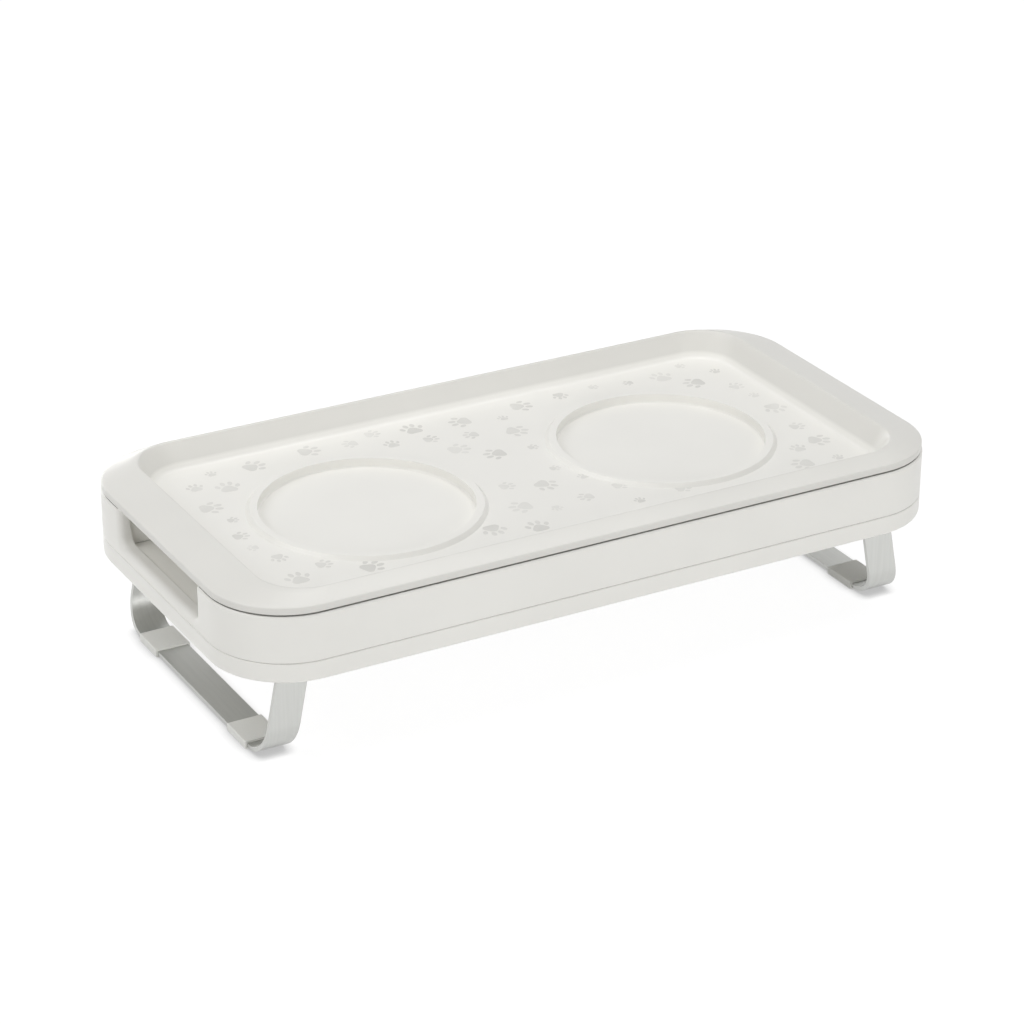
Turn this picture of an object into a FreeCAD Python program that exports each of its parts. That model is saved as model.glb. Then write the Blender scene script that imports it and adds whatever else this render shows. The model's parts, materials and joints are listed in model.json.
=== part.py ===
"""Elevated pet feeder: a lift-off tray on a shallow body that stands on two fold-out legs.

Frame: +Z up, origin on the floor under the middle of the body, X along the length, Y from the front
to the rear. Millimetres.
"""
import FreeCAD, Part
import math
import os

import Sketcher

# Driving dimensions: name, size and what it is
SIZES = [
    ("body_length", 480.0, "length of the body over its side wall"),
    ("body_width", 242.0, "width of the body over its side wall"),
    ("body_corner", 49.0, "plan radius of the body's corners"),
    ("ground_clearance", 59.3, "floor to the underside of the pan"),
    ("pan_height", 12.4, "underside of the pan to the seam"),
    ("frame_height", 29.3, "seam to the top edge of the frame"),
    ("tray_gap", 1.2, "dark gap between the frame and the tray's rim"),
    ("tray_setback", 0.6, "tray edge behind the body's side"),
    ("rim_edge", 4.1, "height of the rim's upright outer edge"),
    ("rim_rise", 5.5, "rise of the sloping rim to its crest"),
    ("rim_end_width", 26.0, "plan width of the rim at the short ends"),
    ("rim_side_width", 11.0, "plan width of the rim along the sides"),
    ("crest_land", 1.6, "flat land at the crest"),
    ("crest_corner", 30.0, "plan radius of the crest's inner corners"),
    ("basin_depth", 16.7, "crest to the tray's floor"),
    ("basin_end_run", 8.4, "plan run of the basin's wall at the short ends"),
    ("basin_side_run", 6.4, "plan run of the basin's wall along the sides"),
    ("basin_corner", 25.0, "plan radius of the floor's corners"),
    ("tray_wall", 2.2, "thickness of the tray"),
    ("rim_edge_fillet", 1.2, "rounding of the rim's outer edge"),
    ("crest_fillet", 1.2, "rounding of the crest's inner edge"),
    ("floor_fillet", 3.5, "rounding between basin wall and floor"),
    ("seat_spacing", 206.0, "distance between the bowl seats' centres"),
    ("seat_diameter", 131.0, "inner diameter of a seat's ring"),
    ("ring_width", 7.2, "width of a ring at its foot"),
    ("ring_height", 2.4, "ring above the tray's floor"),
    ("ring_draft", 45.0, "slope of a ring's outer flank, degrees from upright"),
    ("seat_depth", 3.4, "seat below the tray's floor"),
    ("seat_bevel", 0.8, "bevel at the foot of a seat's wall"),
    ("frame_wall", 3.0, "thickness of the frame's side wall"),
    ("frame_edge_bevel", 1.0, "bevel of the frame's top outer edge"),
    ("ledge_width", 26.0, "shelf that carries the tray, in from the wall"),
    ("ledge_inset", 70.0, "shelves' ends in from the body's ends"),
    ("ledge_thickness", 2.5, "thickness of the two shelves"),
    ("tray_rest", 0.1, "clearance between tray and shelf"),
    ("handle_width", 110.0, "width of a handle notch"),
    ("handle_depth", 22.7, "depth of a handle notch below the frame's edge"),
    ("handle_corner", 5.0, "radius of a notch's lower corners"),
    ("notch_edge_fillet", 4.5, "rounding of the notch's outer edges"),
    ("grip_depth", 8.5, "sill of a notch, in from the outer face"),
    ("grip_top", 6.0, "cheek of a notch at the frame's edge, in from the outer face"),
    ("grip_wall", 2.4, "thickness of sill and hand pocket"),
    ("pocket_step", 2.4, "hand pocket's floor below the sill"),
    ("pocket_room", 3.0, "hand pocket past the notch on each side"),
    ("pocket_gap", 0.5, "hand pocket's back to the leg well"),
    ("pan_floor", 2.5, "thickness of the pan's floor"),
    ("pan_edge_radius", 2.0, "rounding of the pan's lower edge"),
    ("tongue_height", 3.0, "lip of the pan inside the frame"),
    ("tongue_wall", 1.6, "thickness of that lip"),
    ("tongue_clearance", 0.2, "lip to the frame's wall"),
    ("seam_chamfer", 0.6, "bevel on both sides of the seam"),
    ("leg_inset", 22.2, "a leg's arm in from the body's front or rear"),
    ("stance_inset", 19.4, "a leg's floor bar in from the body's end"),
    ("band_width", 20.0, "width of the leg's band"),
    ("band_thickness", 2.6, "thickness of the leg's band"),
    ("bend_radius", 21.0, "outer radius of the leg's bends"),
    ("lean_angle", 11.0, "outward lean of the arms, degrees"),
    ("fold_clearance", 0.8, "folded foot above the pan's underside"),
    ("foot_wall", 1.2, "thickness of a foot sleeve"),
    ("foot_length", 25.0, "length of a foot sleeve"),
    ("foot_inset", 22.5, "arm's outer face to the sleeve's end"),
    ("foot_fillet", 0.8, "rounding of a sleeve's long edges"),
    ("foot_clearance", 0.05, "band in its sleeve"),
    ("well_wall", 2.2, "thickness of a leg well's walls"),
    ("well_end_room", 2.5, "folded leg to the well's inner end"),
    ("well_top_room", 1.4, "folded foot to the well's roof"),
    ("stop_clearance", 0.3, "open arm to the well's outer end, its stop"),
    ("pin_diameter", 5.0, "shank of a hinge pin"),
    ("pin_head_diameter", 9.0, "head of a hinge pin"),
    ("pin_head_height", 1.8, "height of that head"),
    ("pin_tip", 1.6, "shank past its clip"),
    ("pin_clearance", 0.05, "radial clearance round a hinge pin"),
    ("side_clearance", 0.1, "play between head, arm, washer, wall and clip"),
    ("washer_diameter", 11.0, "friction washer"),
    ("washer_thickness", 0.8, "friction washer"),
    ("clip_side", 9.0, "side of a square push-on clip"),
    ("clip_thickness", 0.8, "push-on clip"),
    ("boss_end_inset", 90.0, "screws in from the body's ends"),
    ("screw_diameter", 3.0, "shank of a screw"),
    ("screw_length", 16.0, "shank of a screw"),
    ("screw_head_diameter", 6.0, "head of a screw"),
    ("screw_head_height", 2.0, "head of a screw"),
    ("screw_recess", 3.0, "depth of the recess for a head"),
    ("screw_clearance", 0.05, "radial clearance round a shank"),
    ("head_clearance", 0.3, "radial clearance round a head"),
    ("boss_side", 9.0, "side of the square bosses for the screws"),
    ("boss_inset", 10.0, "boss centre in from the body's side"),
    ("boss_depth", 12.0, "depth of the screw holes above the seam"),
    ("overrun", 1.0, "cuts run this far past what they cut"),
]

doc = FreeCAD.newDocument("PetFeeder")
sheet = doc.addObject("Spreadsheet::Sheet", "Sizes")
for row, (alias, size, _) in enumerate(SIZES, start=1):
    sheet.set(f"A{row}", str(size))
    sheet.setAlias(f"A{row}", alias)
doc.recompute()


def S(alias):
    """Expression for one driving dimension."""
    return f"Sizes.{alias}"


def worked_out(expression):
    """Present value of an expression, in millimetres."""
    return float(sheet.evalExpression(expression))


# Heights above the floor, as expressions
PAN_BOTTOM = S("ground_clearance")
SEAM = f"({PAN_BOTTOM} + {S('pan_height')})"
FRAME_TOP = f"({SEAM} + {S('frame_height')})"
TRAY_BOTTOM = f"({FRAME_TOP} + {S('tray_gap')})"
RIM_TOP = f"({TRAY_BOTTOM} + {S('rim_edge')})"
CREST = f"({RIM_TOP} + {S('rim_rise')})"
BASIN_FLOOR = f"({CREST} - {S('basin_depth')})"
TRAY_UNDERSIDE = f"({BASIN_FLOOR} - {S('tray_wall')})"
RING_TOP = f"({BASIN_FLOOR} + {S('ring_height')})"
SEAT_FLOOR = f"({BASIN_FLOOR} - {S('seat_depth')})"
LEDGE_TOP = f"({TRAY_UNDERSIDE} - {S('tray_rest')})"
LEDGE_BOTTOM = f"({LEDGE_TOP} - {S('ledge_thickness')})"
SILL = f"({FRAME_TOP} - {S('handle_depth')})"
HALF_FOLDED = f"({S('band_width')} / 2 + {S('foot_wall')})"
HINGE_HEIGHT = f"({PAN_BOTTOM} + {S('fold_clearance')} + {HALF_FOLDED})"
WELL_ROOF = f"({HINGE_HEIGHT} + {HALF_FOLDED} + {S('well_top_room')})"

# Places along the length and the width, as expressions
LEAN = f"tan({S('lean_angle')})"
BAR_DROP = f"({HINGE_HEIGHT} - {S('foot_wall')} - {S('band_thickness')})"
LEAN_RUN = f"({BAR_DROP} * {LEAN})"
LEG_WIDTH = f"({S('body_width')} - 2 * {S('leg_inset')})"
BAR_X = f"({S('body_length')} / 2 - {S('stance_inset')} - {S('band_width')} / 2)"
HINGE_X = f"({BAR_X} - {LEAN_RUN})"
ARM_INNER = f"({LEG_WIDTH} / 2 - {S('band_thickness')})"
WELL_SIDE = f"({LEG_WIDTH} / 2 + 2 * {S('side_clearance')} + {S('washer_thickness')})"
ARM_AT_PAN = f"(({HINGE_HEIGHT} - {PAN_BOTTOM}) * {LEAN} + {S('band_width')} / 2)"
WELL_OUTER_END = f"({HINGE_X} + {ARM_AT_PAN} + {S('stop_clearance')})"
FOLDED_REACH = (
    f"sqrt(({LEAN_RUN} + {HALF_FOLDED}) ^ 2 + {HINGE_HEIGHT} ^ 2)"
)
WELL_INNER_END = f"({HINGE_X} - {FOLDED_REACH} - {S('well_end_room')})"
FOOT_Y = f"({LEG_WIDTH} / 2 - {S('foot_inset')} - {S('foot_length')} / 2)"
BOSS_Y = f"({S('body_width')} / 2 - {S('boss_inset')})"
SCREW_SEAT = f"({PAN_BOTTOM} + {S('screw_recess')})"
POCKET_WIDTH = f"({S('handle_width')} + 2 * {S('pocket_room')})"
POCKET_SIDE = f"({POCKET_WIDTH} / 2 + {S('grip_wall')})"
TOP_LENGTH = f"({S('body_length')} - 2 * {S('tray_setback')})"
TOP_WIDTH = f"({S('body_width')} - 2 * {S('tray_setback')})"
CREST_LENGTH = f"({TOP_LENGTH} - 2 * {S('rim_end_width')})"
CREST_WIDTH = f"({TOP_WIDTH} - 2 * {S('rim_side_width')})"


# Building blocks for sketches and features

def new_body(label):
    body = doc.addObject("PartDesign::Body", label)
    body.Label = label
    return body


def new_sketch(body, role, offset=None):
    """Empty sketch on one of the body's own origin planes, moved along the plane's normal."""
    sketch = body.newObject("Sketcher::SketchObject", f"{body.Name}_sketch")
    plane = next(item for item in body.Origin.OriginFeatures if item.Role == role)
    sketch.AttachmentSupport = [(plane, "")]
    sketch.MapMode = "FlatFace"
    if offset:
        sketch.setExpression("AttachmentOffset.Base.z", offset)
    return sketch


def bind(sketch, constraint, expression):
    """Add one dimension to a sketch and tie it to its expression."""
    index = sketch.addConstraint(constraint)
    sketch.setExpression(f"Constraints[{index}]", expression)


def pin_point(sketch, geometry, vertex, x, y):
    """Tie one point of a sketch to its two coordinates; a zero puts it on the axis."""
    if x == "0":
        sketch.addConstraint(Sketcher.Constraint("PointOnObject", geometry, vertex, -2))
    else:
        place = Sketcher.Constraint("DistanceX", -1, 1, geometry, vertex, worked_out(x))
        bind(sketch, place, x)
    if y == "0":
        sketch.addConstraint(Sketcher.Constraint("PointOnObject", geometry, vertex, -1))
    else:
        place = Sketcher.Constraint("DistanceY", -1, 1, geometry, vertex, worked_out(y))
        bind(sketch, place, y)


def draw_polygon(sketch, points):
    """Closed outline of straight lines through points given as pairs of expressions."""
    spots = [FreeCAD.Vector(worked_out(x), worked_out(y), 0) for x, y in points]
    lines = []
    for spot, following in zip(spots, spots[1:] + spots[:1]):
        lines.append(sketch.addGeometry(Part.LineSegment(spot, following), False))
    for line, following in zip(lines, lines[1:] + lines[:1]):
        sketch.addConstraint(Sketcher.Constraint("Coincident", line, 2, following, 1))
    for line, (x, y) in zip(lines, points):
        pin_point(sketch, line, 1, x, y)


def draw_rectangle(sketch, low_x, high_x, low_y, high_y):
    draw_polygon(sketch, [(low_x, low_y), (high_x, low_y), (high_x, high_y), (low_x, high_y)])


def draw_square(sketch, x, y, side):
    draw_rectangle(sketch, f"({x} - {side} / 2)", f"({x} + {side} / 2)", f"({y} - {side} / 2)",
                   f"({y} + {side} / 2)")


def draw_circle(sketch, x, y, diameter):
    centre = FreeCAD.Vector(worked_out(x), worked_out(y), 0)
    ring = Part.Circle(centre, FreeCAD.Vector(0, 0, 1), worked_out(diameter) / 2)
    index = sketch.addGeometry(ring, False)
    bind(sketch, Sketcher.Constraint("Diameter", index, worked_out(diameter)), diameter)
    pin_point(sketch, index, 3, x, y)


def draw_rounded(sketch, low_x, high_x, low_y, high_y, radius):
    """Rectangle with four equal round corners, its sides at the given places."""
    left, right = worked_out(low_x), worked_out(high_x)
    bottom, top = worked_out(low_y), worked_out(high_y)
    r = worked_out(radius)
    upright = FreeCAD.Vector(0, 0, 1)
    quarter = math.pi / 2
    runs = [
        ((left + r, bottom), (right - r, bottom)),
        ((right, bottom + r), (right, top - r)),
        ((right - r, top), (left + r, top)),
        ((left, top - r), (left, bottom + r)),
    ]
    corners = [
        ((right - r, bottom + r), 3),
        ((right - r, top - r), 0),
        ((left + r, top - r), 1),
        ((left + r, bottom + r), 2),
    ]
    lines, arcs = [], []
    for (start, end), (centre, turn) in zip(runs, corners):
        line = Part.LineSegment(FreeCAD.Vector(*start, 0), FreeCAD.Vector(*end, 0))
        lines.append(sketch.addGeometry(line, False))
        circle = Part.Circle(FreeCAD.Vector(*centre, 0), upright, r)
        arc = Part.ArcOfCircle(circle, turn * quarter, (turn + 1) * quarter)
        arcs.append(sketch.addGeometry(arc, False))
    for line, arc, following in zip(lines, arcs, lines[1:] + lines[:1]):
        sketch.addConstraint(Sketcher.Constraint("Tangent", line, 2, arc, 1))
        sketch.addConstraint(Sketcher.Constraint("Tangent", arc, 2, following, 1))
    for index in (0, 2):
        sketch.addConstraint(Sketcher.Constraint("Horizontal", lines[index]))
    for index in (1, 3):
        sketch.addConstraint(Sketcher.Constraint("Vertical", lines[index]))
    for arc in arcs[1:]:
        sketch.addConstraint(Sketcher.Constraint("Equal", arcs[0], arc))
    bind(sketch, Sketcher.Constraint("Radius", arcs[0], r), radius)
    bind(sketch, Sketcher.Constraint("DistanceY", -1, 1, lines[0], 1, bottom), low_y)
    bind(sketch, Sketcher.Constraint("DistanceX", -1, 1, lines[1], 1, right), high_x)
    bind(sketch, Sketcher.Constraint("DistanceY", -1, 1, lines[2], 1, top), high_y)
    bind(sketch, Sketcher.Constraint("DistanceX", -1, 1, lines[3], 1, left), low_x)


def outline(body, height, length, width, radius):
    """Sketch of a centred rounded rectangle at a height."""
    sketch = new_sketch(body, "XY_Plane", height)
    draw_rounded(sketch, f"-{length} / 2", f"{length} / 2", f"-{width} / 2", f"{width} / 2", radius)
    return sketch


def pad(body, sketch, length, symmetric=False, reverse=False, taper=None):
    feature = body.newObject("PartDesign::Pad", f"{body.Name}_pad")
    feature.Profile = sketch
    feature.setExpression("Length", length)
    if symmetric:
        feature.SideType = "Symmetric"
    feature.Reversed = reverse
    if taper:
        feature.setExpression("TaperAngle", taper)
    doc.recompute()
    return feature


def pocket(body, sketch, length=None, reverse=False, symmetric=False):
    """Cut of a given depth, or right through the body both ways; it must take material away."""
    before = body.Shape.Volume
    feature = body.newObject("PartDesign::Pocket", f"{body.Name}_pocket")
    feature.Profile = sketch
    if symmetric or not length:
        feature.SideType = "Symmetric"
    if length:
        feature.setExpression("Length", length)
    else:
        feature.Type = "ThroughAll"
    feature.Reversed = reverse
    doc.recompute()
    if body.Shape.Volume >= before:
        raise RuntimeError(f"{feature.Name} cuts nothing")
    return feature


def loft(body, sketches, kind="AdditiveLoft"):
    feature = body.newObject(f"PartDesign::{kind}", f"{body.Name}_loft")
    feature.Profile = sketches[0]
    feature.Sections = sketches[1:]
    feature.Ruled = True
    doc.recompute()
    return feature


def revolve(body, points):
    """Solid of revolution about the body's own Y axis; points are radius and place along it."""
    sketch = new_sketch(body, "XY_Plane")
    draw_polygon(sketch, points)
    feature = body.newObject("PartDesign::Revolution", f"{body.Name}_turned")
    feature.Profile = sketch
    feature.ReferenceAxis = (sketch, ["V_Axis"])
    feature.Angle = 360.0
    doc.recompute()
    return feature


def edges_where(shape, wanted):
    """Names of the edges whose bounding box passes a test."""
    return [f"Edge{n}" for n, edge in enumerate(shape.Edges, start=1) if wanted(edge)]


def level_at(height, tolerance=1e-4):
    """Test for an edge that lies flat at a height."""
    def wanted(edge):
        box = edge.BoundBox
        return abs(box.ZMin - height) < tolerance and abs(box.ZMax - height) < tolerance
    return wanted


def dress(body, kind, wanted, size):
    """Fillet or chamfer of every edge of the body's tip that passes a test."""
    base = body.Tip
    names = edges_where(base.Shape, wanted)
    if not names:
        raise RuntimeError(f"no edge of {body.Name} to dress")
    feature = body.newObject(f"PartDesign::{kind}", f"{body.Name}_edge")
    feature.Base = (base, names)
    feature.setExpression("Radius" if kind == "Fillet" else "Size", size)
    doc.recompute()
    return feature


def place(item, x="0", y="0", z="0", turn=0):
    """Put a sub-part in its place, turned about the upright axis."""
    item.Placement = FreeCAD.Placement(FreeCAD.Vector(), FreeCAD.Rotation(FreeCAD.Vector(0, 0, 1), turn))
    for axis, expression in zip("xyz", (x, y, z)):
        if expression != "0":
            item.setExpression(f"Placement.Base.{axis}", expression)


# Serving tray: sloping rim, hollow underneath, with a sunken floor and two bowl seats

def serving_tray():
    body = new_body("serving_tray")
    edge = outline(body, TRAY_BOTTOM, TOP_LENGTH, TOP_WIDTH, f"({S('body_corner')} - {S('tray_setback')})")
    pad(body, edge, S("rim_edge"))
    land = S("crest_land")
    crest_sections = [
        outline(body, RIM_TOP, TOP_LENGTH, TOP_WIDTH, f"({S('body_corner')} - {S('tray_setback')})"),
        outline(body, CREST, f"({CREST_LENGTH} + 2 * {land})", f"({CREST_WIDTH} + 2 * {land})",
                f"({S('crest_corner')} + {land})"),
    ]
    loft(body, crest_sections)
    dress(body, "Fillet", level_at(worked_out(RIM_TOP)), S("rim_edge_fillet"))

    wall = S("tray_wall")
    inner_length = f"({TOP_LENGTH} - 2 * {wall})"
    inner_width = f"({TOP_WIDTH} - 2 * {wall})"
    inner_corner = f"({S('body_corner')} - {S('tray_setback')} - {wall})"
    hollow = outline(body, TRAY_BOTTOM, inner_length, inner_width, inner_corner)
    pocket(body, hollow, f"({S('rim_edge')} - {wall})", reverse=True)
    hollow_sections = [
        outline(body, f"({RIM_TOP} - {wall})", inner_length, inner_width, inner_corner),
        outline(body, f"({CREST} - {wall})", CREST_LENGTH, CREST_WIDTH, S("crest_corner")),
    ]
    loft(body, hollow_sections, "SubtractiveLoft")

    floor_length = f"({CREST_LENGTH} - 2 * {S('basin_end_run')})"
    floor_width = f"({CREST_WIDTH} - 2 * {S('basin_side_run')})"
    basin_shell = [
        outline(body, f"({CREST} - {wall} / 2)", f"({CREST_LENGTH} + 2 * {wall})",
                f"({CREST_WIDTH} + 2 * {wall})", f"({S('crest_corner')} + {wall})"),
        outline(body, TRAY_UNDERSIDE, f"({floor_length} + 2 * {wall})", f"({floor_width} + 2 * {wall})",
                f"({S('basin_corner')} + {wall})"),
    ]
    loft(body, basin_shell)
    basin = [
        outline(body, CREST, CREST_LENGTH, CREST_WIDTH, S("crest_corner")),
        outline(body, BASIN_FLOOR, floor_length, floor_width, S("basin_corner")),
    ]
    loft(body, basin, "SubtractiveLoft")
    dress(body, "Fillet", level_at(worked_out(BASIN_FLOOR)), S("floor_fillet"))
    inside_crest = worked_out(f"{CREST_LENGTH} / 2 + {land} / 2")
    crest_edge = level_at(worked_out(CREST))
    beside_crest = worked_out(f"{CREST_WIDTH} / 2 + {land} / 2")

    def inner_crest(edge):
        box = edge.BoundBox
        within = max(-box.XMin, box.XMax) < inside_crest and max(-box.YMin, box.YMax) < beside_crest
        return crest_edge(edge) and within
    dress(body, "Fillet", inner_crest, S("crest_fillet"))

    centres = [f"-{S('seat_spacing')} / 2", f"{S('seat_spacing')} / 2"]
    cup = new_sketch(body, "XY_Plane", BASIN_FLOOR)
    ring = new_sketch(body, "XY_Plane", BASIN_FLOOR)
    seat = new_sketch(body, "XY_Plane", RING_TOP)
    for centre in centres:
        draw_circle(cup, centre, "0", f"({S('seat_diameter')} + 2 * {wall})")
        draw_circle(ring, centre, "0", f"({S('seat_diameter')} + 2 * {S('ring_width')})")
        draw_circle(seat, centre, "0", S("seat_diameter"))
    pad(body, cup, f"({S('seat_depth')} + {wall})", reverse=True)
    pad(body, ring, S("ring_height"), taper=f"-{S('ring_draft')}")
    pocket(body, seat, f"({S('ring_height')} + {S('seat_depth')})")
    dress(body, "Chamfer", level_at(worked_out(SEAT_FLOOR)), S("seat_bevel"))
    return body


# Upper frame: upright wall with handle notches, tray shelves and screw bosses

def upper_frame():
    body = new_body("upper_frame")
    wall = S("frame_wall")
    shell = outline(body, SEAM, S("body_length"), S("body_width"), S("body_corner"))
    pad(body, shell, S("frame_height"))
    dress(body, "Chamfer", level_at(worked_out(SEAM)), S("seam_chamfer"))
    inside = outline(body, FRAME_TOP, f"({S('body_length')} - 2 * {wall})",
                     f"({S('body_width')} - 2 * {wall})", f"({S('body_corner')} - {wall})")
    pocket(body, inside)

    shelves = new_sketch(body, "XY_Plane", LEDGE_TOP)
    bosses = new_sketch(body, "XY_Plane", SEAM)
    holes = new_sketch(body, "XY_Plane", SEAM)
    outer = f"({S('body_width')} / 2 - {wall} / 2)"
    inner = f"({S('body_width')} / 2 - {wall} - {S('ledge_width')})"
    half = f"({S('body_length')} / 2 - {S('ledge_inset')})"
    draw_rectangle(shelves, f"-{half}", half, inner, outer)
    draw_rectangle(shelves, f"-{half}", half, f"-{outer}", f"-{inner}")
    pad(body, shelves, S("ledge_thickness"), reverse=True)
    for x, y in screw_places():
        draw_square(bosses, x, y, S("boss_side"))
        draw_circle(holes, x, y, f"({S('screw_diameter')} + 2 * {S('screw_clearance')})")
    pad(body, bosses, f"({LEDGE_BOTTOM} - {SEAM} + {S('ledge_thickness')} / 2)")
    pocket(body, holes, S("boss_depth"), reverse=True)

    hand_pockets(body)
    top = level_at(worked_out(FRAME_TOP))
    inside = worked_out(f"{S('body_width')} / 2 - {wall} / 2")

    def outer_top(edge):
        """The long outer edges on top; the rest of the outline follows on from them."""
        return top(edge) and abs(edge.CenterOfMass.y) > inside

    dress(body, "Chamfer", outer_top, S("frame_edge_bevel"))
    return body


def hand_pockets(body):
    """Notch in each end wall, with a deep sill, cheeks that taper upwards and a closed pocket behind."""
    wall_middle = f"({S('body_length')} / 2 - {S('frame_wall')} / 2)"
    sill_end = f"({S('body_length')} / 2 - {S('grip_depth')})"
    cheek_end = f"({S('body_length')} / 2 - {S('grip_top')})"
    back_outside = f"({WELL_OUTER_END} + {S('well_wall')} + {S('pocket_gap')})"
    back_inside = f"({back_outside} + {S('grip_wall')})"
    floor = f"({SILL} - {S('pocket_step')})"
    blocks = new_sketch(body, "XZ_Plane")
    rooms = new_sketch(body, "XZ_Plane")
    for sign in ("", "-"):
        draw_rectangle(blocks, f"{sign}{back_outside}", f"{sign}{wall_middle}",
                       f"({floor} - {S('grip_wall')})", FRAME_TOP)
        draw_polygon(rooms, [
            (f"{sign}{back_inside}", floor),
            (f"{sign}{sill_end}", floor),
            (f"{sign}{sill_end}", SILL),
            (f"{sign}{cheek_end}", FRAME_TOP),
            (f"{sign}{cheek_end}", f"({FRAME_TOP} + {S('overrun')})"),
            (f"{sign}{back_inside}", f"({FRAME_TOP} + {S('overrun')})"),
        ])
    pad(body, blocks, f"(2 * {POCKET_SIDE})", symmetric=True)
    pocket(body, rooms, POCKET_WIDTH, symmetric=True)
    half_notch = f"{S('handle_width')} / 2"
    for sign in ("", "-"):
        notch = new_sketch(body, "YZ_Plane", f"{sign}({S('body_length')} / 2)")
        draw_rounded(notch, f"-{half_notch}", half_notch, SILL, f"({FRAME_TOP} + {S('handle_depth')})",
                     S("handle_corner"))
        pocket(body, notch, f"({S('grip_depth')} + {S('overrun')})", reverse=sign == "-")
    end_face = worked_out(f"{S('body_length')} / 2")
    beside_notch = worked_out(f"{half_notch} + {S('overrun')}")
    above_sill = worked_out(f"{SILL} - {S('overrun')}")

    def notch_edge(edge):
        box = edge.BoundBox
        on_end = abs(abs(box.XMin) - end_face) < 1e-4 and box.XLength < 1e-4
        return on_end and max(-box.YMin, box.YMax) < beside_notch and box.ZMin > above_sill
    dress(body, "Fillet", notch_edge, S("notch_edge_fillet"))


# Base pan: shallow shell with a leg well under each end and bosses for the screws

def base_pan():
    body = new_body("base_pan")
    shell = outline(body, PAN_BOTTOM, S("body_length"), S("body_width"), S("body_corner"))
    pad(body, shell, S("pan_height"))
    dress(body, "Fillet", level_at(worked_out(PAN_BOTTOM)), S("pan_edge_radius"))
    dress(body, "Chamfer", level_at(worked_out(SEAM)), S("seam_chamfer"))
    lip_in = f"({S('frame_wall')} + {S('tongue_clearance')})"
    lip = outline(body, SEAM, f"({S('body_length')} - 2 * {lip_in})", f"({S('body_width')} - 2 * {lip_in})",
                  f"({S('body_corner')} - {lip_in})")
    pad(body, lip, S("tongue_height"))
    room_in = f"({lip_in} + {S('tongue_wall')})"
    room = outline(body, f"({SEAM} + {S('tongue_height')})", f"({S('body_length')} - 2 * {room_in})",
                   f"({S('body_width')} - 2 * {room_in})", f"({S('body_corner')} - {room_in})")
    pocket(body, room, f"({S('pan_height')} + {S('tongue_height')} - {S('pan_floor')})")

    gaps = new_sketch(body, "XY_Plane", SEAM)
    beside = f"({POCKET_SIDE} + {S('pocket_gap')})"
    tongue_inside = f"({S('body_length')} / 2 - {room_in} - {S('overrun')})"
    for sign in ("", "-"):
        draw_rectangle(gaps, f"{sign}{tongue_inside}", f"{sign}({S('body_length')} / 2)",
                       f"-{beside}", beside)
    pocket(body, gaps, f"({S('tongue_height')} + {S('overrun')})", reverse=True)

    boxes = new_sketch(body, "XY_Plane", PAN_BOTTOM)
    wells = new_sketch(body, "XY_Plane", PAN_BOTTOM)
    thick = S("well_wall")
    low, high, side = WELL_INNER_END, WELL_OUTER_END, WELL_SIDE
    for sign in ("", "-"):
        draw_rectangle(boxes, f"{sign}({low} - {thick})", f"{sign}({high} + {thick})",
                       f"-({side} + {thick})", f"({side} + {thick})")
        draw_rectangle(wells, f"{sign}{low}", f"{sign}{high}", f"-{side}", side)
    pad(body, boxes, f"({WELL_ROOF} - {PAN_BOTTOM} + {thick})")
    pocket(body, wells, f"({WELL_ROOF} - {PAN_BOTTOM})", reverse=True)

    bosses = new_sketch(body, "XY_Plane", SEAM)
    holes = new_sketch(body, "XY_Plane", SEAM)
    recesses = new_sketch(body, "XY_Plane", PAN_BOTTOM)
    for x, y in screw_places():
        draw_square(bosses, x, y, S("boss_side"))
        draw_circle(holes, x, y, f"({S('screw_diameter')} + 2 * {S('screw_clearance')})")
        draw_circle(recesses, x, y, f"({S('screw_head_diameter')} + 2 * {S('head_clearance')})")
    pad(body, bosses, f"({S('pan_height')} - {S('pan_floor')} / 2)", reverse=True)
    pocket(body, holes, f"({S('pan_height')} + {S('overrun')})")
    pocket(body, recesses, S("screw_recess"), reverse=True)

    pivots = new_sketch(body, "XZ_Plane")
    for sign in ("", "-"):
        draw_circle(pivots, f"{sign}{HINGE_X}", HINGE_HEIGHT,
                    f"({S('pin_diameter')} + 2 * {S('pin_clearance')})")
    pocket(body, pivots, f"(2 * ({WELL_SIDE} + {S('well_wall')} + {S('side_clearance')}))", symmetric=True)
    return body


def screw_places():
    """Two screws in front and two at the rear, as pairs of expressions."""
    half = f"({S('body_length')} / 2 - {S('boss_end_inset')})"
    return [(x, y) for y in (f"-{BOSS_Y}", BOSS_Y) for x in (f"-{half}", half)]


# Leg: one band bent to a U, its arms leaning outwards over a level floor bar

# Rounding of an arm's upper end, as a share of the band's width
ARM_END_SHARE = 0.45

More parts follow.
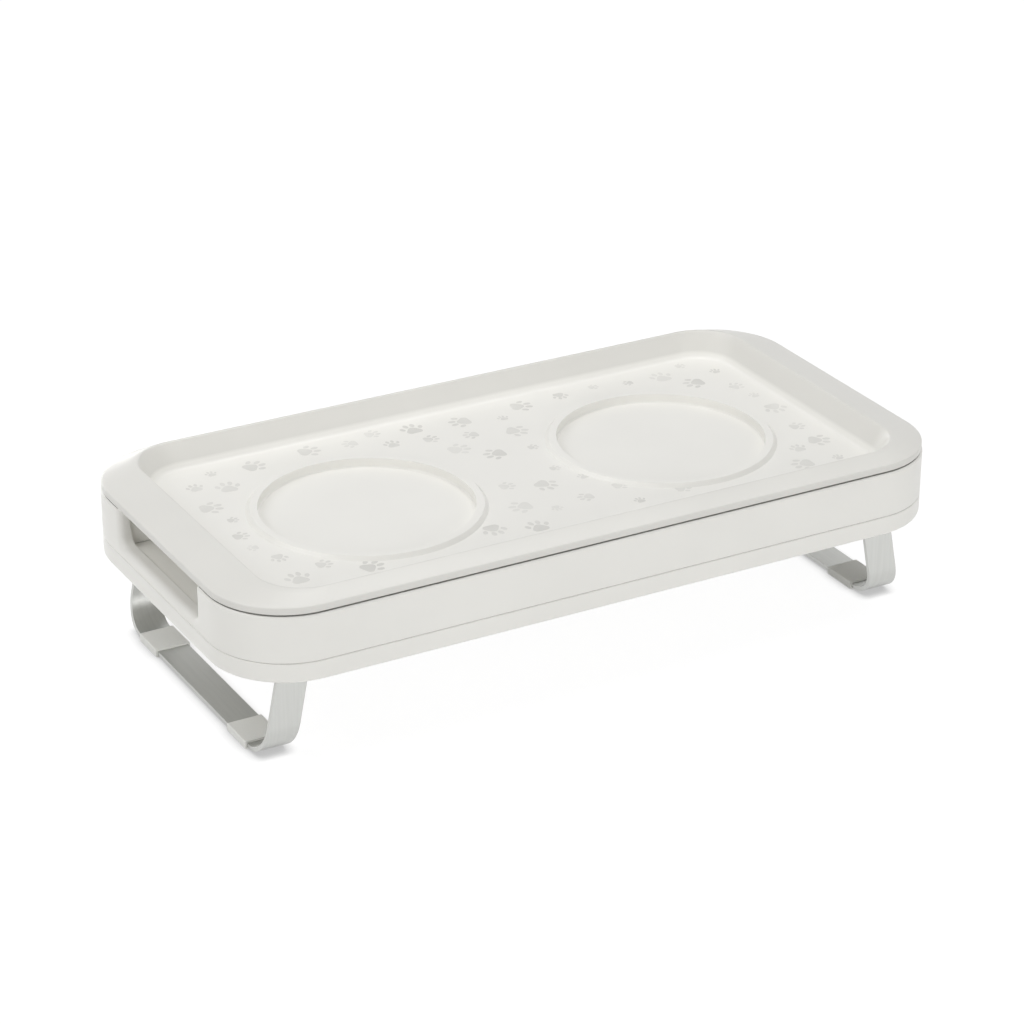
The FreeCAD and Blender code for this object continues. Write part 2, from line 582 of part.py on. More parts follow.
def leg_band(label, side):
    """Drawn about its own hinge axis, leaning towards -X; the right leg is turned half round."""
    body = new_body(label)
    half = f"({S('band_width')} / 2)"
    bar_bottom = f"-({HINGE_HEIGHT} - {S('foot_wall')})"
    bar_top = f"-{BAR_DROP}"
    side_view = new_sketch(body, "XZ_Plane")
    draw_polygon(side_view, [
        (f"-({LEAN_RUN} + {half})", bar_bottom),
        (f"-({LEAN_RUN} - {half})", bar_bottom),
        (f"-({LEAN_RUN} - {half})", bar_top),
        (f"({half} + {half} * {LEAN})", half),
        (f"-({half} - {half} * {LEAN})", half),
        (f"-({LEAN_RUN} + {half})", bar_top),
    ])
    pad(body, side_view, LEG_WIDTH, symmetric=True)
    bottom = level_at(worked_out(bar_bottom))
    arm_side = worked_out(f"{LEG_WIDTH} / 2")
    dress(body, "Fillet", lambda edge: bottom(edge) and abs(abs(edge.CenterOfMass.y) - arm_side) < 1e-4,
          S("bend_radius"))
    top = level_at(worked_out(half))
    dress(body, "Fillet", lambda edge: edge.BoundBox.YLength > arm_side and top(edge),
          f"{ARM_END_SHARE} * {S('band_width')}")
    gap = new_sketch(body, "YZ_Plane")
    draw_rounded(gap, f"-{ARM_INNER}", ARM_INNER, bar_top, HINGE_HEIGHT,
                 f"({S('bend_radius')} - {S('band_thickness')})")
    pocket(body, gap)
    eye = new_sketch(body, "XZ_Plane")
    draw_circle(eye, "0", "0", f"({S('pin_diameter')} + 2 * {S('pin_clearance')})")
    pocket(body, eye)
    place(body, x=f"{side}{HINGE_X}", z=HINGE_HEIGHT, turn=0 if side == "-" else 180)
    return body


# Foot: soft sleeve round the floor bar, next to the bend

def foot(label, side, row):
    body = new_body(label)
    half = f"({S('band_width')} / 2)"
    skin = S("foot_wall")
    play = S("foot_clearance")
    section = new_sketch(body, "XZ_Plane")
    draw_rectangle(section, f"-({half} + {skin})", f"({half} + {skin})", "0",
                   f"({S('band_thickness')} + 2 * {skin})")
    draw_rectangle(section, f"-({half} + {play})", f"({half} + {play})", f"({skin} - {play})",
                   f"({skin} + {S('band_thickness')} + {play})")
    pad(body, section, S("foot_length"), symmetric=True)
    long_side = worked_out(S("foot_length")) / 2
    outer = worked_out(f"{half} + {skin} / 2")
    dress(body, "Fillet", lambda edge: edge.BoundBox.YLength > long_side and abs(edge.CenterOfMass.x) > outer,
          S("foot_fillet"))
    place(body, x=f"{side}{BAR_X}", y=f"{row}{FOOT_Y}")
    return body


# Hinge hardware, placed along Y from the arm's inner face outwards

ARM_OUTSIDE = S("band_thickness")
WASHER_INSIDE = f"({ARM_OUTSIDE} + {S('side_clearance')})"
WALL_INSIDE = f"({WASHER_INSIDE} + {S('washer_thickness')} + {S('side_clearance')})"
CLIP_INSIDE = f"({WALL_INSIDE} + {S('well_wall')} + {S('side_clearance')})"
PIN_END = f"({CLIP_INSIDE} + {S('clip_thickness')} + {S('pin_tip')})"
SHANK = f"({S('pin_diameter')} / 2)"
BORE = f"({SHANK} + {S('pin_clearance')})"


def hinge_pin(body):
    head = f"({S('pin_head_diameter')} / 2)"
    head_inside = f"-({S('pin_head_height')} + {S('side_clearance')})"
    revolve(body, [
        ("0", head_inside),
        (head, head_inside),
        (head, f"-{S('side_clearance')}"),
        (SHANK, f"-{S('side_clearance')}"),
        (SHANK, PIN_END),
        ("0", PIN_END),
    ])


def friction_washer(body):
    rim = f"({S('washer_diameter')} / 2)"
    outside = f"({WASHER_INSIDE} + {S('washer_thickness')})"
    revolve(body, [(BORE, WASHER_INSIDE), (rim, WASHER_INSIDE), (rim, outside), (BORE, outside)])


def pin_clip(body):
    plate = new_sketch(body, "XZ_Plane", f"-{CLIP_INSIDE}")
    draw_square(plate, "0", "0", S("clip_side"))
    draw_circle(plate, "0", "0", f"(2 * {BORE})")
    pad(body, plate, S("clip_thickness"), reverse=True)


def hinge_set(corner, side, row):
    """Pin, washer and clip of one leg arm; the front row is turned to point forwards."""
    made = []
    for fitting in (hinge_pin, friction_washer, pin_clip):
        body = new_body(f"{corner}_{fitting.__name__}")
        fitting(body)
        place(body, f"{side}{HINGE_X}", f"{row}{ARM_INNER}", HINGE_HEIGHT, turn=180 if row == "-" else 0)
        made.append(body)
    return made


# Screws that join pan and frame, one group of separate solids

def pan_screws():
    screws = []
    for number, (x, y) in enumerate(screw_places(), start=1):
        shank = doc.addObject("Part::Cylinder", f"screw_shank_{number}")
        shank.setExpression("Radius", f"{S('screw_diameter')} / 2")
        shank.setExpression("Height", f"({S('screw_length')} + {S('screw_head_height')} / 2)")
        place(shank, x, y, f"({SCREW_SEAT} - {S('screw_head_height')} / 2)")
        head = doc.addObject("Part::Cylinder", f"screw_head_{number}")
        head.setExpression("Radius", f"{S('screw_head_diameter')} / 2")
        head.setExpression("Height", S("screw_head_height"))
        place(head, x, y, f"({SCREW_SEAT} - {S('screw_head_height')})")
        screw = doc.addObject("Part::Fuse", f"screw_{number}")
        screw.Base = shank
        screw.Tool = head
        screws.append(screw)
    group = doc.addObject("Part::Compound", "pan_screws")
    group.Label = "pan_screws"
    group.Links = screws
    return group


SIDES = (("left", "-"), ("right", ""))
ROWS = (("front", "-"), ("rear", ""))

subparts = [serving_tray(), upper_frame(), base_pan(), pan_screws()]
for side_name, side_sign in SIDES:
    subparts.append(leg_band(f"{side_name}_leg_band", side_sign))
    for row_name, row_sign in ROWS:
        subparts.append(foot(f"{side_name}_{row_name}_foot", side_sign, row_sign))
        subparts.extend(hinge_set(f"{side_name}_{row_name}", side_sign, row_sign))

doc.recompute()
for item in doc.Objects:
    if "Invalid" in item.State or "Error" in item.State:
        raise RuntimeError(f"{item.Name} failed: {item.State}")
for subpart in subparts:
    if subpart.Shape.isNull() or not subpart.Shape.isValid():
        raise RuntimeError(f"{subpart.Label} has no valid shape")

os.makedirs("parts", exist_ok=True)
for subpart in subparts:
    subpart.Shape.exportStep(os.path.join("parts", f"{subpart.Label}.step"))
    box = subpart.Shape.BoundBox
    print(subpart.Label, len(subpart.Shape.Solids), round(subpart.Shape.Volume, 1),
          [round(v, 2) for v in (box.XMin, box.XMax, box.YMin, box.YMax, box.ZMin, box.ZMax)])
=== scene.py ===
# Elevated pet feeder: finishes, printed paw marks, stage, light and camera
import json
import math

import bpy
from mathutils import Matrix, Vector

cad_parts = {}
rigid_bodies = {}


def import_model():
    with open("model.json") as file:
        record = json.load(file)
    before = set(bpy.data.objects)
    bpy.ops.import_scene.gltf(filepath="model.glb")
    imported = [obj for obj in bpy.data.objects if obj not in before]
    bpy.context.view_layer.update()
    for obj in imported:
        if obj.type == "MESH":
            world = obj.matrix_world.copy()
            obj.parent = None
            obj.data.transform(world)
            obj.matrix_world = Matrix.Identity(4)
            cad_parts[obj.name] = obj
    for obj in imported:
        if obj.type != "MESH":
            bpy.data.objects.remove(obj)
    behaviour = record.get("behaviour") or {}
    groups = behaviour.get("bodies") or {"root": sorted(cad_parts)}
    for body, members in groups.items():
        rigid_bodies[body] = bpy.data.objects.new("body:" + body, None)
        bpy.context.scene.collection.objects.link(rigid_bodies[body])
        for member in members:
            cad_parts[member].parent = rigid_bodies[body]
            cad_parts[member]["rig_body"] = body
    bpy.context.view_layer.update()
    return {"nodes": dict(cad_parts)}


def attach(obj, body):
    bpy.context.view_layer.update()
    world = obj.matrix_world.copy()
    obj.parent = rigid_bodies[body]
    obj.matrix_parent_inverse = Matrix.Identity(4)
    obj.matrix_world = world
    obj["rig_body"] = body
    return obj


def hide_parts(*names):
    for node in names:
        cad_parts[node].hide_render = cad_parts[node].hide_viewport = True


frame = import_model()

nodes = frame["nodes"]
MM = 0.001
CREASE_ANGLE = math.radians(30)
WELD = 0.002 * MM


# Selection and copying

def clear_selection():
    if bpy.context.object and bpy.context.object.mode != "OBJECT":
        bpy.ops.object.mode_set(mode="OBJECT")
    bpy.ops.object.select_all(action="DESELECT")


def edit(piece):
    """Open one piece alone for editing."""
    clear_selection()
    piece.select_set(True)
    bpy.context.view_layer.objects.active = piece
    bpy.ops.object.mode_set(mode="EDIT")


def leave_edit():
    bpy.ops.object.mode_set(mode="OBJECT")


def joined(pieces, name):
    """One piece out of several, its place in its mesh."""
    clear_selection()
    for piece in pieces:
        piece.select_set(True)
    bpy.context.view_layer.objects.active = pieces[0]
    if len(pieces) > 1:
        bpy.ops.object.join()
    whole = bpy.context.object
    whole.name = name
    whole.data.name = name
    bpy.ops.object.transform_apply(location=True, rotation=True, scale=True)
    return whole


def skin_of(node_name):
    """Merged copy of a moulded or bent node with smooth shading, standing for the node."""
    skin = nodes[node_name].copy()
    skin.data = skin.data.copy()
    for key in list(skin.keys()):
        del skin[key]
    skin.parent = None
    skin.name = node_name + "_skin"
    skin.data.name = skin.name
    bpy.context.scene.collection.objects.link(skin)
    edit(skin)
    bpy.ops.mesh.select_all(action="SELECT")
    bpy.ops.mesh.remove_doubles(threshold=WELD)
    leave_edit()
    if skin.data.has_custom_normals:
        bpy.ops.mesh.customdata_custom_splitnormals_clear()
    bpy.ops.object.shade_smooth_by_angle(angle=CREASE_ANGLE)
    body = nodes[node_name]["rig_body"]
    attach(skin, body)
    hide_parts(node_name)
    return skin


def paint(piece, material):
    piece.data.materials.clear()
    piece.data.materials.append(material)


# Finishes, with colours as linear red, green and blue

TRAY_TINT = (0.765, 0.756, 0.719)
# Paler tint of the tray's floor: painted light, the upward-facing floor brighter than the rim and walls
TRAY_FLOOR_LIT_TINT = (0.89, 0.881, 0.842)
BODY_TINT = (0.895, 0.886, 0.846)
BAND_TINTS = (0.555, 0.56, 0.54), (0.585, 0.59, 0.57)
SILICONE_TINTS = (0.86, 0.86, 0.825), (0.89, 0.89, 0.855)
NYLON_TINTS = (0.72, 0.71, 0.67), (0.80, 0.79, 0.75)
INK_TINTS = (0.70, 0.693, 0.66), (0.80, 0.792, 0.757)
PIN_TINT = (0.68, 0.68, 0.67)
SCREW_TINT = (0.62, 0.62, 0.63)

# Height of the tray's sunken floor, how far above it the paler floor tint ends, and over what height it
# fades; the paler floor is painted light, the upward-facing floor lit brighter than the tray's rim and
# walls
TRAY_FLOOR = 95.1 * MM
LIT_FLOOR_RISE = 3.0 * MM
LIT_FLOOR_FADE = 2.0 * MM

# Radii of softened edges, and the width, the darkness and the range of openness of shaded seams
TRAY_EDGE = 0.25 * MM
BODY_EDGE = 0.35 * MM
BAND_EDGE = 0.35 * MM
SLEEVE_EDGE = 0.3 * MM
CREVICE_REACH = 1.7 * MM
CREVICE_DARK = 0.06
CREVICE_SHUT, CREVICE_OPEN = 0.27, 0.7

# Grains to the metre of a sparked mould, and how far clouds and wear shift a tint
SPARKED_GRAIN = 2600.0
CLOUD_PALER, CLOUD_DULLER = 1.012, 0.985
WEAR_DULLER = 0.9

# Rays for softened edges, the painted shade in seams and the painted contact shadow on the paper under the
# feet
EDGE_RAYS = 6
CREVICE_RAYS = 8
CONTACT_SHADOW_RAYS = 12


def new_material(name, metallic=0.0, specular=0.5):
    material = bpy.data.materials.new(name)
    material.use_nodes = True
    shader = material.node_tree.nodes["Principled BSDF"]
    shader.inputs["Metallic"].default_value = metallic
    shader.inputs["Specular IOR Level"].default_value = specular
    return material, material.node_tree, shader


def noise(tree, scale, detail=3.0, stretch=(1.0, 1.0, 1.0)):
    """Noise over the piece's own coordinates, with scale in grains to the metre."""
    place = tree.nodes.new("ShaderNodeTexCoord")
    mapping = tree.nodes.new("ShaderNodeMapping")
    mapping.inputs["Scale"].default_value = stretch
    grain = tree.nodes.new("ShaderNodeTexNoise")
    grain.inputs["Scale"].default_value = scale
    grain.inputs["Detail"].default_value = detail
    tree.links.new(place.outputs["Object"], mapping.inputs["Vector"])
    tree.links.new(mapping.outputs["Vector"], grain.inputs["Vector"])
    return grain.outputs["Fac"]


def ramp(tree, source, low_colour, high_colour, low=0.3, high=0.7):
    """Blend from one colour to another over a stretch of a noise."""
    blend = tree.nodes.new("ShaderNodeValToRGB")
    blend.color_ramp.elements[0].position = low
    blend.color_ramp.elements[0].color = (*low_colour, 1.0)
    blend.color_ramp.elements[1].position = high
    blend.color_ramp.elements[1].color = (*high_colour, 1.0)
    tree.links.new(source, blend.inputs["Fac"])
    return blend.outputs["Color"]


def spread(tree, source, low, high):
    """Map a noise onto a range of values."""
    share = tree.nodes.new("ShaderNodeMapRange")
    share.inputs["To Min"].default_value = low
    share.inputs["To Max"].default_value = high
    tree.links.new(source, share.inputs["Value"])
    return share.outputs["Result"]


def coat(tree, shader, colour, grain, dullest, glossiest):
    """Give a shader its colour, and a roughness that drifts with a grain."""
    tree.links.new(colour, shader.inputs["Base Color"])
    tree.links.new(spread(tree, grain, glossiest, dullest), shader.inputs["Roughness"])


def bump(tree, shader, source, depth, strength, edge_radius=None):
    """Fine relief on the surface, over edges softened by a small radius where one is given."""
    relief = tree.nodes.new("ShaderNodeBump")
    relief.inputs["Strength"].default_value = strength
    relief.inputs["Distance"].default_value = depth
    tree.links.new(source, relief.inputs["Height"])
    if edge_radius:
        edge = tree.nodes.new("ShaderNodeBevel")
        edge.samples = EDGE_RAYS
        edge.inputs["Radius"].default_value = edge_radius
        tree.links.new(edge.outputs["Normal"], relief.inputs["Normal"])
    tree.links.new(relief.outputs["Normal"], shader.inputs["Normal"])


def clouded(tree, clouds, tint):
    """Colour that drifts slightly about a tint."""
    paler = tuple(min(1.0, part * CLOUD_PALER) for part in tint)
    duller = tuple(part * CLOUD_DULLER for part in tint)
    return ramp(tree, clouds, duller, paler)


def below_level(tree, level, low_colour, high_colour):
    """One colour under a height of the piece and another over it, with a soft change between."""
    place = tree.nodes.new("ShaderNodeTexCoord")
    axes = tree.nodes.new("ShaderNodeSeparateXYZ")
    height = tree.nodes.new("ShaderNodeMapRange")
    height.inputs["From Min"].default_value = level
    height.inputs["From Max"].default_value = level + LIT_FLOOR_FADE
    choice = tree.nodes.new("ShaderNodeMix")
    choice.data_type = "RGBA"
    tree.links.new(place.outputs["Object"], axes.inputs[0])
    tree.links.new(axes.outputs["Z"], height.inputs["Value"])
    tree.links.new(height.outputs["Result"], choice.inputs[0])
    tree.links.new(low_colour, choice.inputs[6])
    tree.links.new(high_colour, choice.inputs[7])
    return choice.outputs[2]


def shaded_crevices(tree, colour):
    """Darken a colour where surfaces close in on each other, as in a seam or behind a lip."""
    shade = tree.nodes.new("ShaderNodeAmbientOcclusion")
    shade.samples = CREVICE_RAYS
    shade.inputs["Distance"].default_value = CREVICE_REACH
    depth = tree.nodes.new("ShaderNodeMapRange")
    depth.inputs["From Min"].default_value = CREVICE_SHUT
    depth.inputs["From Max"].default_value = CREVICE_OPEN
    depth.inputs["To Min"].default_value = CREVICE_DARK
    darker = tree.nodes.new("ShaderNodeMix")
    darker.data_type = "RGBA"
    darker.blend_type = "MULTIPLY"
    darker.inputs[0].default_value = 1.0
    tree.links.new(shade.outputs["AO"], depth.inputs["Value"])
    tree.links.new(colour, darker.inputs[6])
    tree.links.new(depth.outputs["Result"], darker.inputs[7])
    return darker.outputs[2]


def moulded_plastic(name, tint, edge_radius, lit_floor_level=None, lit_floor_tint=None):
    """Satin off-white plastic with the fine sparked grain of a mould, and painted light: a paler tint below
    a given height, for a floor lit brighter than the walls above it.
    """
    material, tree, shader = new_material(name, specular=0.32)
    clouds = noise(tree, scale=14.0, detail=2.0)
    colour = clouded(tree, clouds, tint)
    if lit_floor_level:
        colour = below_level(tree, lit_floor_level, clouded(tree, clouds, lit_floor_tint), colour)
    colour = shaded_crevices(tree, colour)
    grain = noise(tree, SPARKED_GRAIN, detail=4.0)
    coat(tree, shader, colour, grain, dullest=0.39, glossiest=0.29)
    bump(tree, shader, grain, depth=0.03 * MM, strength=0.25, edge_radius=edge_radius)
    return material


def satin_band(name):
    """Pale satin coat on a steel band, with faint drawing lines along it."""
    material, tree, shader = new_material(name, metallic=0.9)
    streaks = noise(tree, scale=700.0, detail=2.0, stretch=(1.0, 0.03, 0.03))
    grain = noise(tree, scale=2400.0)
    coat(tree, shader, ramp(tree, streaks, *BAND_TINTS), grain, dullest=0.48, glossiest=0.40)
    bump(tree, shader, grain, depth=0.015 * MM, strength=0.2, edge_radius=BAND_EDGE)
    return material


def soft_silicone(name):
    """Matte silicone rubber with a dusty grain."""
    material, tree, shader = new_material(name, specular=0.4)
    grain = noise(tree, scale=1500.0, detail=4.0)
    coat(tree, shader, ramp(tree, grain, *SILICONE_TINTS), grain, dullest=0.68, glossiest=0.52)
    bump(tree, shader, grain, depth=0.04 * MM, strength=0.3, edge_radius=SLEEVE_EDGE)
    return material


def plated_steel(name, tint):
    """Bright plated steel with faint turning marks."""
    material, tree, shader = new_material(name, metallic=1.0)
    marks = noise(tree, scale=3200.0, detail=2.0, stretch=(1.0, 1.0, 0.2))
    duller = tuple(part * WEAR_DULLER for part in tint)
    coat(tree, shader, ramp(tree, marks, duller, tint), marks, dullest=0.34, glossiest=0.2)
    bump(tree, shader, marks, depth=0.01 * MM, strength=0.2)
    return material


def washer_nylon(name):
    """Milky nylon with a slight cloudiness."""
    material, tree, shader = new_material(name)
    clouds = noise(tree, scale=700.0)
    coat(tree, shader, ramp(tree, clouds, *NYLON_TINTS), clouds, dullest=0.52, glossiest=0.4)
    bump(tree, shader, clouds, depth=0.02 * MM, strength=0.2)
    return material


def paw_ink(name):
    """Pale grey printing ink that takes unevenly, fainter in places."""
    material, tree, shader = new_material(name, specular=0.4)
    patches = noise(tree, scale=22.0, detail=2.0)
    colour = ramp(tree, patches, *INK_TINTS, low=0.36, high=0.64)
    grain = noise(tree, SPARKED_GRAIN, detail=4.0)
    coat(tree, shader, colour, grain, dullest=0.56, glossiest=0.42)
    bump(tree, shader, grain, depth=0.02 * MM, strength=0.25)
    return material


# The tray's floor below the given height gets the paler tint as painted light
tray_white = moulded_plastic("tray_white", TRAY_TINT, TRAY_EDGE,
                             lit_floor_level=TRAY_FLOOR + LIT_FLOOR_RISE, lit_floor_tint=TRAY_FLOOR_LIT_TINT)
body_white = moulded_plastic("body_white", BODY_TINT, BODY_EDGE)
band_coat = satin_band("band_coat")
sleeve_silicone = soft_silicone("sleeve_silicone")
pin_plating = plated_steel("pin_plating", PIN_TINT)
screw_plating = plated_steel("screw_plating", SCREW_TINT)
nylon = washer_nylon("nylon")
ink = paw_ink("paw_ink")

paint(skin_of("serving_tray"), tray_white)
paint(skin_of("upper_frame"), body_white)
paint(skin_of("base_pan"), body_white)
for leg in ("left", "right"):
    paint(skin_of(f"{leg}_leg_band"), band_coat)
    for row in ("front", "rear"):
        paint(skin_of(f"{leg}_{row}_foot"), sleeve_silicone)
        paint(skin_of(f"{leg}_{row}_hinge_pin"), pin_plating)
        paint(skin_of(f"{leg}_{row}_friction_washer"), nylon)
        paint(skin_of(f"{leg}_{row}_pin_clip"), pin_plating)
paint(skin_of("pan_screws"), screw_plating)


# Camera, as the photograph was taken

IMAGE = 1024
EYE = Vector((-0.8687, -1.5343, 0.9111))
RIGHT = Vector((0.8720, -0.4894, 0.0041)).normalized()
BACK = Vector((-0.4431, -0.7859, 0.4313)).normalized()
UP = BACK.cross(RIGHT).normalized()
RIGHT = UP.cross(BACK).normalized()
FOCAL_PIXELS = 3175.57

camera_data = bpy.data.cameras.new("camera")
camera_data.sensor_width = 36.0
camera_data.lens = FOCAL_PIXELS / IMAGE * camera_data.sensor_width
camera_data.clip_start = 0.05
camera_data.clip_end = 50.0
camera = bpy.data.objects.new("camera", camera_data)
camera.matrix_world = Matrix((
    (RIGHT.x, UP.x, BACK.x, EYE.x),
    (RIGHT.y, UP.y, BACK.y, EYE.y),
    (RIGHT.z, UP.z, BACK.z, EYE.z),
    (0.0, 0.0, 0.0, 1.0),
))
bpy.context.scene.collection.objects.link(camera)
bpy.context.scene.camera = camera


def on_level(pixel, height):
    """Point at a height that a pixel of the photograph shows."""
    across = (pixel[0] - IMAGE / 2) / FOCAL_PIXELS
    upwards = (IMAGE / 2 - pixel[1]) / FOCAL_PIXELS
    ray = RIGHT * across + UP * upwards - BACK
    return EYE + ray * ((height - EYE.z) / ray.z)


# Paw marks printed on the tray floor

INK_PROUD = 0.05 * MM
INK_DEPTH = 0.12 * MM
LARGE, MEDIUM, SMALL = 15.5 * MM, 11.0 * MM, 7.6 * MM
UPWARDS, RIGHTWARDS, DOWNWARDS, LEFTWARDS = 0, -90, 180, 90

# Pixel of each mark in the photograph, its size, and where its toes point on the tray
PAW_MARKS = [
    ((195, 488), MEDIUM, UPWARDS), ((228, 487), LARGE, UPWARDS - 10), ((211, 474), SMALL, UPWARDS),
    ((254, 466), LARGE, RIGHTWARDS + 20), ((309, 451), LARGE, RIGHTWARDS), ((350, 444), MEDIUM, LEFTWARDS),
    ((372, 434), MEDIUM, RIGHTWARDS), ((392, 444), MEDIUM, UPWARDS), ((412, 429), LARGE, UPWARDS),
    ((431, 439), MEDIUM, RIGHTWARDS), ((460, 422), LARGE, LEFTWARDS), ((471, 435), MEDIUM, LEFTWARDS),
    ((459, 449), LARGE, RIGHTWARDS), ((521, 406), LARGE, RIGHTWARDS - 10), ((503, 418), SMALL, UPWARDS),
    ((517, 431), LARGE, RIGHTWARDS - 35), ((495, 454), LARGE, LEFTWARDS), ((533, 447), SMALL, RIGHTWARDS),
    ((507, 486), MEDIUM, RIGHTWARDS), ((546, 485), LARGE, DOWNWARDS + 30), ((521, 507), LARGE, LEFTWARDS),
    ((494, 530), LARGE, DOWNWARDS), ((538, 526), LARGE, UPWARDS), ((211, 508), LARGE, RIGHTWARDS - 10),
    ((233, 520), SMALL, RIGHTWARDS), ((241, 536), MEDIUM, RIGHTWARDS), ((253, 548), SMALL, LEFTWARDS),
    ((279, 558), MEDIUM, DOWNWARDS), ((324, 564), MEDIUM, RIGHTWARDS), ((372, 566), LARGE, RIGHTWARDS + 20),
    ((298, 578), LARGE, UPWARDS), ((560, 396), MEDIUM, DOWNWARDS), ((593, 387), SMALL, RIGHTWARDS),
    ((628, 383), SMALL, LEFTWARDS), ((661, 377), LARGE, UPWARDS), ((694, 383), LARGE, LEFTWARDS),
    ((736, 386), MEDIUM, RIGHTWARDS + 30), ((754, 395), SMALL, UPWARDS), ((775, 408), LARGE, DOWNWARDS),
    ((797, 426), MEDIUM, RIGHTWARDS), ((819, 440), LARGE, RIGHTWARDS - 30), ((798, 448), MEDIUM, UPWARDS),
    ((803, 464), LARGE, LEFTWARDS), ((838, 457), SMALL, UPWARDS), ((715, 371), SMALL, UPWARDS),
    ((680, 366), SMALL, RIGHTWARDS), ((583, 476), SMALL, UPWARDS), ((555, 468), SMALL, RIGHTWARDS),
    ((620, 485), MEDIUM, RIGHTWARDS), ((586, 497), MEDIUM, LEFTWARDS), ((557, 508), SMALL, DOWNWARDS),
    ((683, 488), MEDIUM, RIGHTWARDS), ((640, 500), SMALL, UPWARDS),
]

# Main pad and toes of a mark one unit across: centre, radius or half sizes, and turn
PAD_LOBES = [((-0.17, -0.26), 0.17), ((0.17, -0.26), 0.17), ((0.0, -0.06), 0.19)]
PAD_NOTCH = 0.10
TOES = [((-0.40, 0.06), (0.095, 0.15), 24), ((-0.15, 0.30), (0.10, 0.165), 8),
        ((0.15, 0.30), (0.10, 0.165), -8), ((0.40, 0.06), (0.095, 0.15), -24)]
ROUND_CORNERS = 14
FLAT_ANGLE = math.radians(1.0)


def disc(centre, half_sizes, turn=0):
    """Flat round or oval patch."""
    clear_selection()
    bpy.ops.mesh.primitive_circle_add(vertices=ROUND_CORNERS, radius=1.0, fill_type="NGON",
                                      location=(*centre, 0.0), rotation=(0.0, 0.0, math.radians(turn)))
    round_piece = bpy.context.object
    round_piece.scale = (*half_sizes, 1.0)
    bpy.ops.object.transform_apply(location=True, rotation=True, scale=True)
    return round_piece


def paw_mark():
    """Face of one mark, one unit across, toes towards +Y."""
    pad = joined([disc(centre, (radius, radius)) for centre, radius in PAD_LOBES], "pad")
    edit(pad)
    bpy.ops.mesh.select_all(action="SELECT")
    bpy.ops.mesh.convex_hull()
    leave_edit()
    heel = min(corner.co.y for corner in pad.data.vertices)
    for corner in pad.data.vertices:
        near_middle = max(0.0, 1.0 - abs(corner.co.x) / PAD_LOBES[1][1])
        if corner.co.y < heel + PAD_NOTCH:
            corner.co.y += PAD_NOTCH * near_middle
    toes = [disc(centre, half_sizes, turn) for centre, half_sizes, turn in TOES]
    mark = joined([pad] + toes, "paw_mark")
    edit(mark)
    bpy.ops.mesh.select_all(action="SELECT")
    bpy.ops.mesh.dissolve_limited(angle_limit=FLAT_ANGLE)
    bpy.ops.mesh.normals_make_consistent(inside=False)
    leave_edit()
    return mark


def paw_print_layer():
    """All the marks as one thin layer of ink that rides with the tray."""
    pattern = paw_mark()
    marks = []
    for pixel, size, turn in PAW_MARKS:
        mark = pattern.copy()
        mark.data = pattern.data.copy()
        bpy.context.scene.collection.objects.link(mark)
        spot = on_level(pixel, TRAY_FLOOR)
        spin = Matrix.Rotation(math.radians(turn), 4, "Z")
        lift = Matrix.Translation((spot.x, spot.y, TRAY_FLOOR + INK_PROUD))
        mark.data.transform(lift @ spin @ Matrix.Diagonal((size, size, 1.0, 1.0)))
        marks.append(mark)
    bpy.data.objects.remove(pattern)
    layer = joined(marks, "paw_print_layer")
    edit(layer)
    bpy.ops.mesh.select_all(action="SELECT")
    bpy.ops.mesh.extrude_region_move(TRANSFORM_OT_translate={"value": (0.0, 0.0, -INK_DEPTH)})
    bpy.ops.mesh.select_all(action="SELECT")
    bpy.ops.mesh.normals_make_consistent(inside=False)
    leave_edit()
    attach(layer, "tray")
    paint(layer, ink)


paw_print_layer()


# Stage: pale floor that keeps the shadow, white backdrop, soft light

WHITE = (1.0, 1.0, 1.0, 1.0)
SKY_LIGHT = 0.18

# Paper: width, colour of the light it sends back, and what it shows of shadows and of its own white
FLOOR_SPAN = 12.0
FLOOR_BOUNCE = (0.80, 0.80, 0.795, 1.0)
FLOOR_SHADE = (0.16, 0.16, 0.16, 1.0)
FLOOR_WHITE = 0.93

# Painted contact shadow on the paper: its white close to a foot, how far that reaches, and how closed the
# darkest place is
CONTACT_SHADOW_WHITE = 0.45
CONTACT_SHADOW_REACH = 7.0 * MM
CONTACT_SHADOW_SHUT = 0.35


def background_rays(tree):
    """One for a ray that shows the background: to the camera, in gloss or through glass."""
    path = tree.nodes.new("ShaderNodeLightPath")
    shown = path.outputs["Is Camera Ray"]
    for kind in ("Is Glossy Ray", "Is Transmission Ray"):
        either = tree.nodes.new("ShaderNodeMath")
        either.operation = "MAXIMUM"
        tree.links.new(shown, either.inputs[0])
        tree.links.new(path.outputs[kind], either.inputs[1])
        shown = either.outputs[0]
    return shown


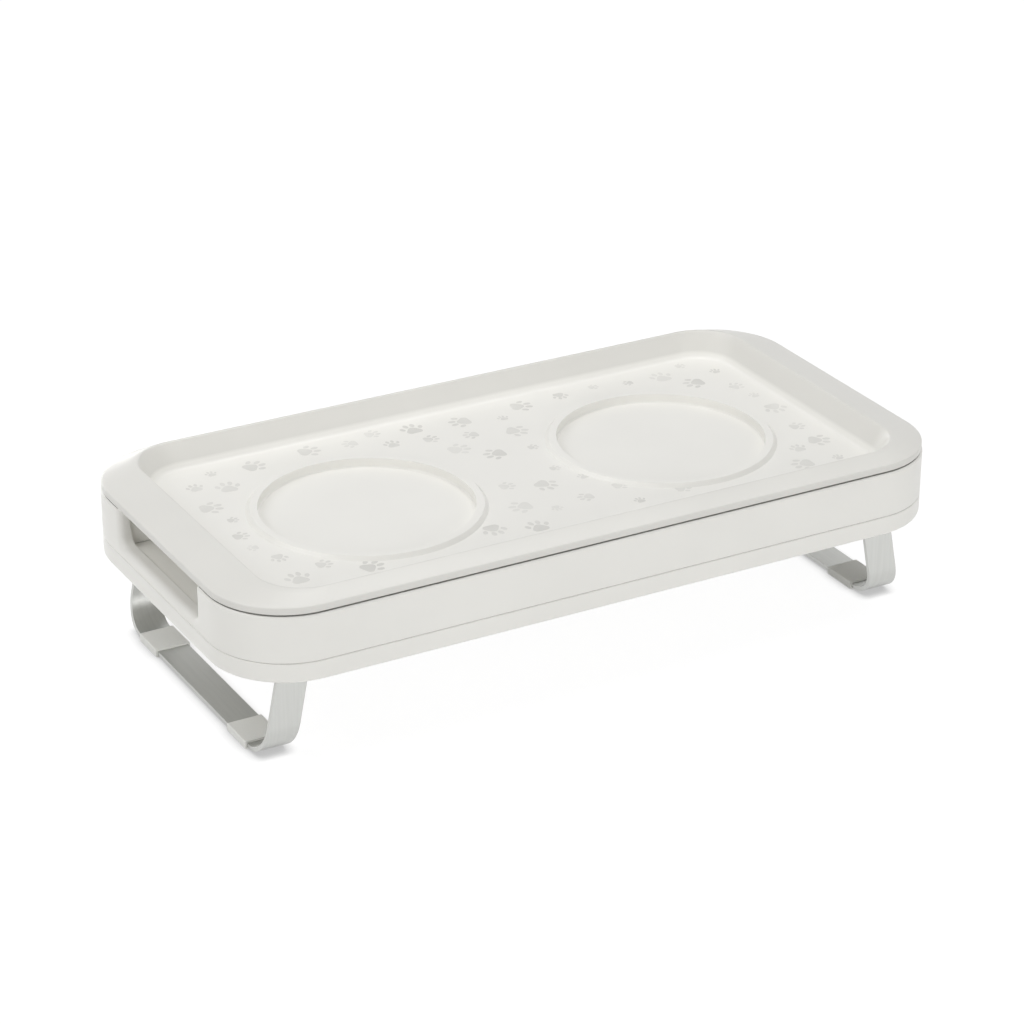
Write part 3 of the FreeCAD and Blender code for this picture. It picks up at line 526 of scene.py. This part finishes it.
def stage_floor():
    """White paper that keeps the shadows, with a painted contact shadow darkening its glow where the feet
    stand.
    """
    clear_selection()
    bpy.ops.mesh.primitive_plane_add(size=FLOOR_SPAN, location=(0.0, 0.0, 0.0))
    floor = bpy.context.object
    floor.name = "stage_floor"
    material = bpy.data.materials.new("stage_paper")
    material.use_nodes = True
    tree = material.node_tree
    tree.nodes.clear()
    output = tree.nodes.new("ShaderNodeOutputMaterial")
    paper = tree.nodes.new("ShaderNodeBsdfDiffuse")
    paper.inputs["Color"].default_value = FLOOR_BOUNCE
    seen_paper = tree.nodes.new("ShaderNodeBsdfDiffuse")
    seen_paper.inputs["Color"].default_value = FLOOR_SHADE
    contact_shade = tree.nodes.new("ShaderNodeAmbientOcclusion")
    contact_shade.samples = CONTACT_SHADOW_RAYS
    contact_shade.inputs["Distance"].default_value = CONTACT_SHADOW_REACH
    contact_shadow = tree.nodes.new("ShaderNodeMapRange")
    contact_shadow.inputs["From Min"].default_value = CONTACT_SHADOW_SHUT
    contact_shadow.inputs["To Min"].default_value = CONTACT_SHADOW_WHITE
    contact_shadow.inputs["To Max"].default_value = FLOOR_WHITE
    white = tree.nodes.new("ShaderNodeEmission")
    tree.links.new(contact_shade.outputs["AO"], contact_shadow.inputs["Value"])
    tree.links.new(contact_shadow.outputs["Result"], white.inputs["Strength"])
    seen = tree.nodes.new("ShaderNodeAddShader")
    choice = tree.nodes.new("ShaderNodeMixShader")
    tree.links.new(seen_paper.outputs[0], seen.inputs[0])
    tree.links.new(white.outputs[0], seen.inputs[1])
    tree.links.new(background_rays(tree), choice.inputs[0])
    tree.links.new(paper.outputs[0], choice.inputs[1])
    tree.links.new(seen.outputs[0], choice.inputs[2])
    tree.links.new(choice.outputs[0], output.inputs["Surface"])
    floor.data.materials.append(material)


def backdrop():
    """White to the camera and in gloss, softer as light."""
    world = bpy.data.worlds.new("backdrop")
    bpy.context.scene.world = world
    world.use_nodes = True
    tree = world.node_tree
    sky = tree.nodes["Background"]
    sky.inputs["Color"].default_value = WHITE
    strength = tree.nodes.new("ShaderNodeMapRange")
    strength.inputs["To Min"].default_value = SKY_LIGHT
    strength.inputs["To Max"].default_value = 1.0
    tree.links.new(background_rays(tree), strength.inputs["Value"])
    tree.links.new(strength.outputs["Result"], sky.inputs["Strength"])


# Lamps: name, place, size and power in watts, all turned to one point in the middle of the feeder
LAMP_AIM = Vector((0.0, 0.0, 0.08))
SOFTBOXES = [
    ("overhead_softbox", Vector((0.35, 0.1, 1.9)), (1.6, 1.2), 17.4),
    ("front_softbox", Vector((0.5, -2.2, 0.45)), (1.6, 1.0), 18.0),
    ("high_left_softbox", Vector((-1.3, 0.3, 1.4)), (1.0, 1.0), 10.2),
    ("left_front_softbox", Vector((-1.9, -1.1, 0.6)), (1.0, 0.8), 7.5),
    ("back_softbox", Vector((-0.3, 2.2, 0.25)), (1.6, 0.4), 8.0),
]


def softbox(name, place, size, power):
    lamp_data = bpy.data.lights.new(name, "AREA")
    lamp_data.shape = "RECTANGLE"
    lamp_data.size, lamp_data.size_y = size
    lamp_data.energy = power
    lamp = bpy.data.objects.new(name, lamp_data)
    lamp.location = place
    lamp.rotation_euler = (LAMP_AIM - place).to_track_quat("-Z", "Y").to_euler()
    bpy.context.scene.collection.objects.link(lamp)


stage_floor()
backdrop()
for lamp_name, lamp_place, lamp_size, lamp_power in SOFTBOXES:
    softbox(lamp_name, lamp_place, lamp_size, lamp_power)

bpy.context.scene.view_settings.view_transform = "Standard"
